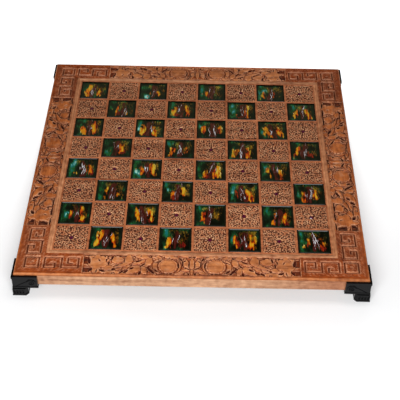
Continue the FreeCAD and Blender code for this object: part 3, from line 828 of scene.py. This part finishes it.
# %% Enamel
m = enamel = new_material("vitreous_enamel")
place = add(m, "TexCoord").outputs["Object"]
drawn_out = add(m, "Mapping", {"Vector": place, "Scale": (900.0, 260.0, 200.0)}).outputs[0]
streaks = add(m, "TexNoise", {"Vector": drawn_out, "Scale": 1.0, "Detail": 4.0, "Roughness": 0.6, "Distortion": 0.7})
frayed = add(m, "MapRange", {"Value": streaks.outputs["Fac"], "From Min": 0.3, "From Max": 0.7,
                             "To Min": -0.5, "To Max": 0.5}, clamp=False).outputs[0]
swirl = add(m, "Attribute", attribute_name="swirl")
parts = add(m, "SeparateColor", {"Color": swirl.outputs["Color"]})
fields = []
for share, layout in ((0.26, parts.outputs["Red"]), (0.26, parts.outputs["Green"]), (0.22, parts.outputs["Blue"]),
                      (0.14, swirl.outputs["Alpha"])):
    fields.append(add(m, "Math", {0: frayed, 1: share, 2: layout}, operation="MULTIPLY_ADD").outputs[0])
flame, heat, green, seam = fields
green = add(m, "ValToRGB", {"Fac": green}, stops=(
    (0.15, "#080904"), (0.34, "#0e180b"), (0.50, "#122c18"), (0.66, "#1a5224"), (0.82, "#12686a"), (1.0, "#8fcdb8")))
heat = add(m, "ValToRGB", {"Fac": heat}, stops=(
    (0.0, "#1a0b03"), (0.14, "#5c0f0e"), (0.32, "#a02e08"), (0.50, "#c4660a"), (0.72, "#c08e14"), (0.9, "#c8aa3c"), (1.0, "#e0dcc0")))
seam_colour = add(m, "ValToRGB", {"Fac": seam}, stops=(
    (0.2, "#2a0c08"), (0.5, "#481812"), (0.68, "#5e4642"), (0.84, "#dadcde")))
in_seam = add(m, "MapRange", {"Value": seam, "From Min": 0.14, "From Max": 0.42}, interpolation_type="SMOOTHSTEP")
in_flame = add(m, "MapRange", {"Value": flame, "From Min": 0.32, "From Max": 0.70}, interpolation_type="SMOOTHSTEP")
glass = add(m, "Mix", {0: in_flame.outputs[0], 6: green.outputs[0], 7: heat.outputs[0]}, data_type="RGBA").outputs[2]
glass = add(m, "Mix", {0: in_seam.outputs[0], 6: glass, 7: seam_colour.outputs[0]}, data_type="RGBA").outputs[2]
finish_with(m, add(m, "BsdfPrincipled", {"Base Color": glass, "Roughness": 0.06, "IOR": 1.5}))


def waves(u, v, rng, low, high, count=5):
    """Sum of a few slanting sine waves, within about -1 and 1."""
    total = np.zeros_like(u)
    for _ in range(count):
        turn, size, phase = rng.uniform(0, 6.28), rng.uniform(low, high), rng.uniform(0, 6.28)
        total += np.sin(size * (u * math.cos(turn) + v * math.sin(turn)) + phase)
    return total / math.sqrt(count) * 0.8


def bell(offset, width):
    """exp(-(offset / width)^2)"""
    return np.exp(-(offset / width) ** 2)


def enamel_layout(u, v, rng):
    """Four layout fields of one tile, for u (to the right) and v (away from the player) from -1 to 1."""
    fine, broad, drift = (cloudy(rng, u.shape, *cells) for cells in ((0, 3), (2, 6), (5, 5)))
    fine = blurred(fine, 1, 2) * 1.6
    streak = cloudy(rng, u.shape, 1, 7)
    uw = u + 0.10 * waves(u, v, rng, 1.5, 4.0) + 0.035 * broad
    vw = v + 0.12 * waves(u, v, rng, 1.5, 4.0) + 0.10 * fine
    seam_at = rng.uniform(-0.06, 0.10) + rng.uniform(-0.12, 0.12) * v
    off = uw - seam_at
    flame, heat = np.zeros_like(u), np.zeros_like(u)
    for side in (-1, 1):
        strength = rng.uniform(0.60, 0.92) + 0.04 * side if rng.uniform() < 0.85 else 0.35
        at = side * (rng.uniform(0.30, 0.46) - rng.uniform(-0.10, 0.22) * vw)
        low, high = rng.uniform(-0.9, -0.45), rng.uniform(0.15, 0.7)
        reach = smooth_step(low - 0.18, low + 0.18, vw) * smooth_step(high + 0.3, high - 0.3, vw)
        body = strength * bell(off - at, rng.uniform(0.17, 0.27)) * reach + 0.10 * fine + 0.14 * broad * reach
        body = body - 0.24 * np.clip(streak - 0.3, 0, 1.2) * reach
        outward = np.clip(side * (off - at), -0.22, 0.25)
        warmth = rng.uniform(0.20, 0.42) + 0.6 * (body - 0.45) + rng.uniform(0.0, 0.35) * vw
        warmth = np.minimum(warmth + 0.10 * fine - 0.16 * streak + rng.uniform(0.4, 1.5) * outward, 0.80)
        rim = bell(body - 0.42, 0.08) * smooth_step(0.05, 0.14, outward) * smooth_step(-0.4, 0.5, drift * side)
        heat = np.where(body > flame, np.maximum(warmth, 0.98 * rim * (rng.uniform() < 0.75)), heat)
        flame = np.maximum(flame, body + 0.25 * rim)

    # crimson below the flames, and a dull olive glow behind them
    if rng.uniform() < 0.5:
        pool = 0.9 * bell(off - rng.choice([-0.25, 0.3, 0.45]), 0.24) * bell(vw + rng.uniform(0.35, 0.7), 0.26) + 0.08 * broad
        heat = np.where(pool > flame, 0.13 + 0.04 * streak, heat)
        flame = np.maximum(flame, pool)
    glow = 0.36 * smooth_step(-0.75, 0.1, uw + 0.5 * vw) * smooth_step(-1.0, -0.3, vw) + 0.05 * drift
    heat = np.where(glow > flame, 0.50 + 0.16 * vw + 0.10 * drift, heat)
    flame = np.maximum(flame, glow)

    outer = np.maximum(np.abs(u), np.abs(v))
    # painted shade: the glass darkens to near black along the pocket's walls
    shade_at_walls = smooth_step(0.97, 0.84, outer)
    green = 0.31 + 0.12 * drift + 0.08 * broad + 0.05 * fine + 0.06 * v - 0.06 * u
    green = green + rng.uniform(0.05, 0.25) * bell(uw + 0.66, 0.2)
    for _ in range(3):
        green = green + rng.uniform(0.0, 0.38) * bell(uw - rng.uniform(-0.8, 0.8), 0.16) * bell(vw - rng.uniform(-0.8, 0.8), 0.22)
    seam = smooth_step(rng.uniform(0.20, 0.32), 0.06, np.abs(off)) * smooth_step(-0.98, -0.7, v) * smooth_step(0.95, 0.6, v)
    seam = seam * (0.42 + 0.06 * fine + 0.06 * broad)
    for _ in range(rng.integers(3, 6)):
        line = seam_at + rng.uniform(-0.24, 0.24) + rng.uniform(-0.12, 0.12) * v + 0.06 * np.sin(
            rng.uniform(2, 7) * v + rng.uniform(0, 6.28)) + 0.012 * broad
        low, high = rng.uniform(-0.95, -0.1), rng.uniform(0.0, 0.9)
        thread = bell(u - line, 0.028) * smooth_step(low - 0.1, low + 0.15, v) * smooth_step(high + 0.15, high - 0.1, v)
        seam = np.maximum(seam, thread * np.clip(0.84 + 0.2 * broad, 0.2, 1.0))
    # painted shade: the flames also fade out before the walls
    flames_shaded_at_walls = smooth_step(0.95, 0.72, outer + 0.04 * broad)
    return np.stack([flame * flames_shaded_at_walls, heat, green * shade_at_walls, seam * shade_at_walls], axis=-1)


def enamel_tile(row, column):
    """Dished tile. From a level lip of 0.45 mm it falls evenly for 0.9 mm, then eases into the level middle.

    The distance w to the nearest wall is softened in the corners: w = (dx^-6 + dy^-6)^(-1/6). The easing is
    1 - exp(-w / 0.7), which starts at the slope where the even part ends.
    """
    rng = np.random.default_rng(300 + 8 * row + column)
    half = POCKET / 2
    near = np.array([0.0, 0.15, 0.3, 0.45, 0.75, 1.05, 1.35, 1.6, 1.9, 2.3, 2.8])
    steps = np.concatenate([near, np.linspace(3.4, half, 27)])
    line = np.concatenate([steps - half, (half - steps)[-2::-1]])
    x, y = np.meshgrid(line, line, indexing="ij")
    dx, dy = half - np.abs(x) + 0.001, half - np.abs(y) + 0.001
    wall = (dx ** -6.0 + dy ** -6.0) ** (-1 / 6)
    slope = 0.56 * np.clip((wall - 0.45) / 0.9, 0, 1) + 0.44 * (1 - np.exp(-np.maximum(wall - 1.35, 0) / 0.7))
    lip = 0.10 * (1 - smooth_step(0, 0.2, np.minimum(dx, dy)))
    z = TILE_TOP - TILE_DISH * slope - lip
    top = np.stack([x + square_middle(column), y + square_middle(row), z], axis=-1).reshape(-1, 3)
    count = len(line)
    number = np.arange(count * count).reshape(count, count)
    rim = np.concatenate([number[0, :-1], number[:-1, -1], number[-1, :0:-1], number[:0:-1, 0]])
    low = top[rim].copy()
    low[:, 2] = TILE_TOP - TILE_THICKNESS
    points = np.concatenate([top, low])
    low_number = len(top) + np.arange(len(rim))
    side_wall = np.stack([rim, np.roll(rim, -1), np.roll(low_number, -1), low_number], axis=-1)
    quads = np.concatenate([grid_quads(count, count)[:, ::-1], side_wall[:, ::-1]])
    layout = enamel_layout(x / half, y / half, rng).reshape(-1, 4)
    layout = np.concatenate([layout, np.zeros((len(rim), 4))])
    name = "row%d_column%d" % (row + 1, column + 1)
    return piece("enamel_square_" + name, points, quads, enamel, ["enamel_tile_" + name],
                 caps=[low_number], colours={"swirl": layout})


for row, column in DARK:
    tile = enamel_tile(row, column)
print("enamel tiles", len(DARK), "of", len(tile.data.polygons), "faces")

# %% [markdown]
# ## Stones and their cups
# Each light square has a small dark red glass stone in a turned brass cup. Both are profiles swung round
# an upright axis: a grid of angle by profile point. The stone's crown has sixteen flat facets.

# %% Stones and cups
m = stone_glass = new_material("dark_red_glass")
finish_with(m, add(m, "BsdfPrincipled", {
    "Base Color": colour("#4c0a2a"), "Roughness": 0.04, "IOR": 1.56, "Coat Weight": 0.6, "Coat Roughness": 0.02}))
m = cup_brass = new_material("darkened_brass")
place = add(m, "TexCoord").outputs["Object"]
tarnish = add(m, "TexNoise", {"Vector": place, "Scale": 900.0, "Detail": 3.0})
tone = add(m, "ValToRGB", {"Fac": tarnish.outputs["Fac"]}, stops=((0.35, "#33101a"), (0.65, "#6a2a2c")))
finish_with(m, add(m, "BsdfPrincipled", {"Base Color": tone.outputs[0], "Metallic": 1.0, "Roughness": 0.38}))


def swung(profile, sides, centre):
    """Points of a profile of (radius, height) swung round an upright axis through centre."""
    turn = 2 * np.pi * np.arange(sides) / sides
    r, z = np.array(profile)[:, 0][:, None], np.array(profile)[:, 1][:, None]
    x, y = r * np.cos(turn) + centre[0], r * np.sin(turn) + centre[1]
    return np.stack([x, y, np.broadcast_to(z, x.shape)], axis=-1).reshape(-1, 3)


def many_swung(profile, sides, centres):
    """The same closed profile swung round many axes: points, quads and end faces."""
    points, quads, caps = [], [], []
    rings = len(profile)
    one = grid_quads(rings, sides, close_columns=True)
    for n, centre in enumerate(centres):
        start = n * rings * sides
        points.append(swung(profile, sides, centre))
        quads.append(one + start)
        caps += [start + np.arange(sides)[::-1], start + (rings - 1) * sides + np.arange(sides)]
    return np.concatenate(points), np.concatenate(quads), caps


STONE = [(1.2, CUP_RIM - 1.7), (STONE_RADIUS - 0.05, CUP_RIM - 0.9), (STONE_RADIUS, CUP_RIM + 0.02),
         (1.72, CUP_RIM + 0.42), (1.15, STONE_TOP)]
CUP = [(2.0, CUP_RIM - 2.2), (CUP_RADIUS - 0.1, CUP_RIM - 2.2), (CUP_RADIUS, CUP_RIM - 0.12), (2.72, CUP_RIM + 0.1),
       (2.5, CUP_RIM + 0.2), (2.26, CUP_RIM + 0.16), (STONE_RADIUS, CUP_RIM), (STONE_RADIUS - 0.05, CUP_RIM - 1.7)]
for row in range(8):
    centres = [(square_middle(c), square_middle(r)) for r, c in LIGHT if r == row]
    points, quads, caps = many_swung(STONE, 8, centres)
    piece("stones_row%d" % (row + 1), points, quads, stone_glass, ["gems_row%d" % (row + 1)], caps, sharp=10)
points, quads, caps = many_swung(CUP, 24, [(square_middle(c), square_middle(r)) for r, c in LIGHT])
piece("turned_cups", points, quads, cup_brass, ["bezel_cups"], caps)

# %% [markdown]
# ## Cast feet
# The feet are cast metal under black satin paint, a little grey where hands and tables rub it.

# %% Cast feet
m = foot_paint = new_material("black_painted_casting")
place = add(m, "TexCoord").outputs["Object"]
sand = add(m, "TexNoise", {"Vector": place, "Scale": 1400.0, "Detail": 3.0})
worn = add(m, "TexNoise", {"Vector": place, "Scale": 160.0, "Detail": 4.0, "Roughness": 0.7})
tone = add(m, "ValToRGB", {"Fac": worn.outputs["Fac"]}, stops=((0.35, "#040405"), (0.6, "#070708"), (0.8, "#121214")))
bump = add(m, "Bump", {"Height": sand.outputs["Fac"], "Strength": 0.4, "Distance": 0.0001})
finish_with(m, add(m, "BsdfPrincipled", {"Base Color": tone.outputs[0], "Roughness": 0.13,
                                           "Specular IOR Level": 0.18, "Normal": bump.outputs[0]}))
for corner in CORNERS:
    eased_copy("corner_foot_" + corner, "cast_foot_" + corner, foot_paint, 0.22)

# %% [markdown]
# ## Base, splines and screws
# These solids already have their real shape, so they keep it and only get their finish.

# %% Base, splines and screws
m = screw_steel = new_material("zinc_plated_steel")
place = add(m, "TexCoord").outputs["Object"]
cloud = add(m, "TexNoise", {"Vector": place, "Scale": 500.0, "Detail": 3.0})
tone = add(m, "ValToRGB", {"Fac": cloud.outputs["Fac"]}, stops=((0.3, "#9a9a98"), (0.7, "#bdbcb8")))
finish_with(m, add(m, "BsdfPrincipled", {"Base Color": tone.outputs[0], "Metallic": 1.0, "Roughness": 0.3}))
for name, material in (("base_panel", base_wood), ("mitre_splines", spline_wood),
                       ("foot_screws", screw_steel), ("base_screws", screw_steel)):
    data = nodes[name].data
    if data.materials:
        for place_number in range(len(data.materials)):
            nodes[name].material_slots[place_number].material = material
    else:
        data.materials.append(material)

# %% [markdown]
# ## Floor and light
# A pale floor, a large softbox above, a second one in front, and a dim room. The floor's paint is pale
# for the light that falls on it, and its glow is only there for the eye and in reflections, so that the
# ground is white and still keeps the board's soft shadow. The room is white at eye level, also in
# reflections, and dark overhead, which is what the level enamel shows.

# %% Floor and light
def seen_directly(path, add_math):
    """1 for rays from the camera, from a mirror or through glass."""
    either = add_math(path.outputs["Is Camera Ray"], path.outputs["Is Glossy Ray"], "MAXIMUM")
    return add_math(either, path.outputs["Is Transmission Ray"], "MAXIMUM")


m = floor_paint = new_material("matt_floor_paint")
path = add(m, "LightPath")
seen = seen_directly(path, lambda a, b, kind: add(m, "Math", {0: a, 1: b}, operation=kind).outputs[0])
place = add(m, "Mapping", {"Vector": add(m, "TexCoord").outputs["Object"], "Location": (0.0, 0.2, 0.0), "Scale": (0.4, 1.0, 1.0)})
away = add(m, "VectorMath", {0: place.outputs[0]}, operation="LENGTH").outputs["Value"]
far = add(m, "MapRange", {"Value": away, "From Min": 0.03, "From Max": 0.45, "To Min": 0.12, "To Max": 0.95})
strength = add(m, "Math", {0: seen, 1: far.outputs[0]}, operation="MULTIPLY").outputs[0]
paint = add(m, "BsdfDiffuse", {"Color": colour("#d4d4d4")})
glow = add(m, "Emission", {"Color": (1.0, 1.0, 1.0, 1.0), "Strength": strength})
finish_with(m, add(m, "AddShader", {0: paint.outputs[0], 1: glow.outputs[0]}))
size = 4000.0
corners = np.array([(-size, -size, -0.05), (size, -size, -0.05), (size, size, -0.05), (-size, size, -0.05)])
floor_mesh = bpy.data.meshes.new("floor")
floor_mesh.from_pydata((corners * MM).tolist(), [], [(0, 1, 2, 3)])
floor_mesh.materials.append(floor_paint)
floor = bpy.data.objects.new("floor", floor_mesh)
bpy.context.scene.collection.objects.link(floor)

world = bpy.data.worlds.new("room")
bpy.context.scene.world = world
world.use_nodes = True
world.node_tree.nodes.clear()
path = add(world, "LightPath")
seen = seen_directly(path, lambda a, b, kind: add(world, "Math", {0: a, 1: b}, operation=kind).outputs[0])
way = add(world, "SeparateXYZ", {0: add(world, "TexCoord").outputs["Generated"]}).outputs["Z"]
room = add(world, "ValToRGB", {"Fac": way}, stops=(
    (0.0, "#ffffff"), (0.10, "#ffffff"), (0.22, "#5c5c56"), (0.54, "#484842"), (0.605, "#767e5e"), (0.73, "#000000"),
    (1.0, "#2e2e2a")))
wall = add(world, "Mix", {0: seen, 6: (0.20, 0.20, 0.21, 1.0), 7: room.outputs[0]}, data_type="RGBA").outputs[2]
wall = add(world, "Mix", {0: path.outputs["Is Camera Ray"], 6: wall, 7: (1.0, 1.0, 1.0, 1.0)}, data_type="RGBA").outputs[2]
light = add(world, "Background", {"Color": wall})
result = add(world, "OutputWorld", {"Surface": light.outputs[0]})

for name, place, aim, width, height, power in (
    ("softbox_above", (0.0, 0.08, 1.45), (0.0, 0.0, 0.0), 1.1, 0.36, 5.5),
    ("softbox_front", (-0.04, -0.78, 0.52), (0.0, -0.10, 0.0), 0.5, 0.3, 7.8),
    ("softbox_back", (0.5, 1.6, 0.9), (0.0, 0.0, 0.0), 1.0, 0.5, 4.5),
):
    lamp = bpy.data.lights.new(name, "AREA")
    lamp.shape = "RECTANGLE"
    lamp.size = width
    lamp.size_y = height
    lamp.energy = power
    holder = bpy.data.objects.new(name, lamp)
    holder.location = place
    holder.visible_camera = False
    holder.visible_glossy = name != "softbox_back"      # or the far tiles would mirror it
    holder.rotation_mode = "QUATERNION"
    holder.rotation_quaternion = (Vector(place) - Vector(aim)).to_track_quat("Z", "Y")
    bpy.context.scene.collection.objects.link(holder)
bpy.context.scene.view_settings.view_transform = "Standard"
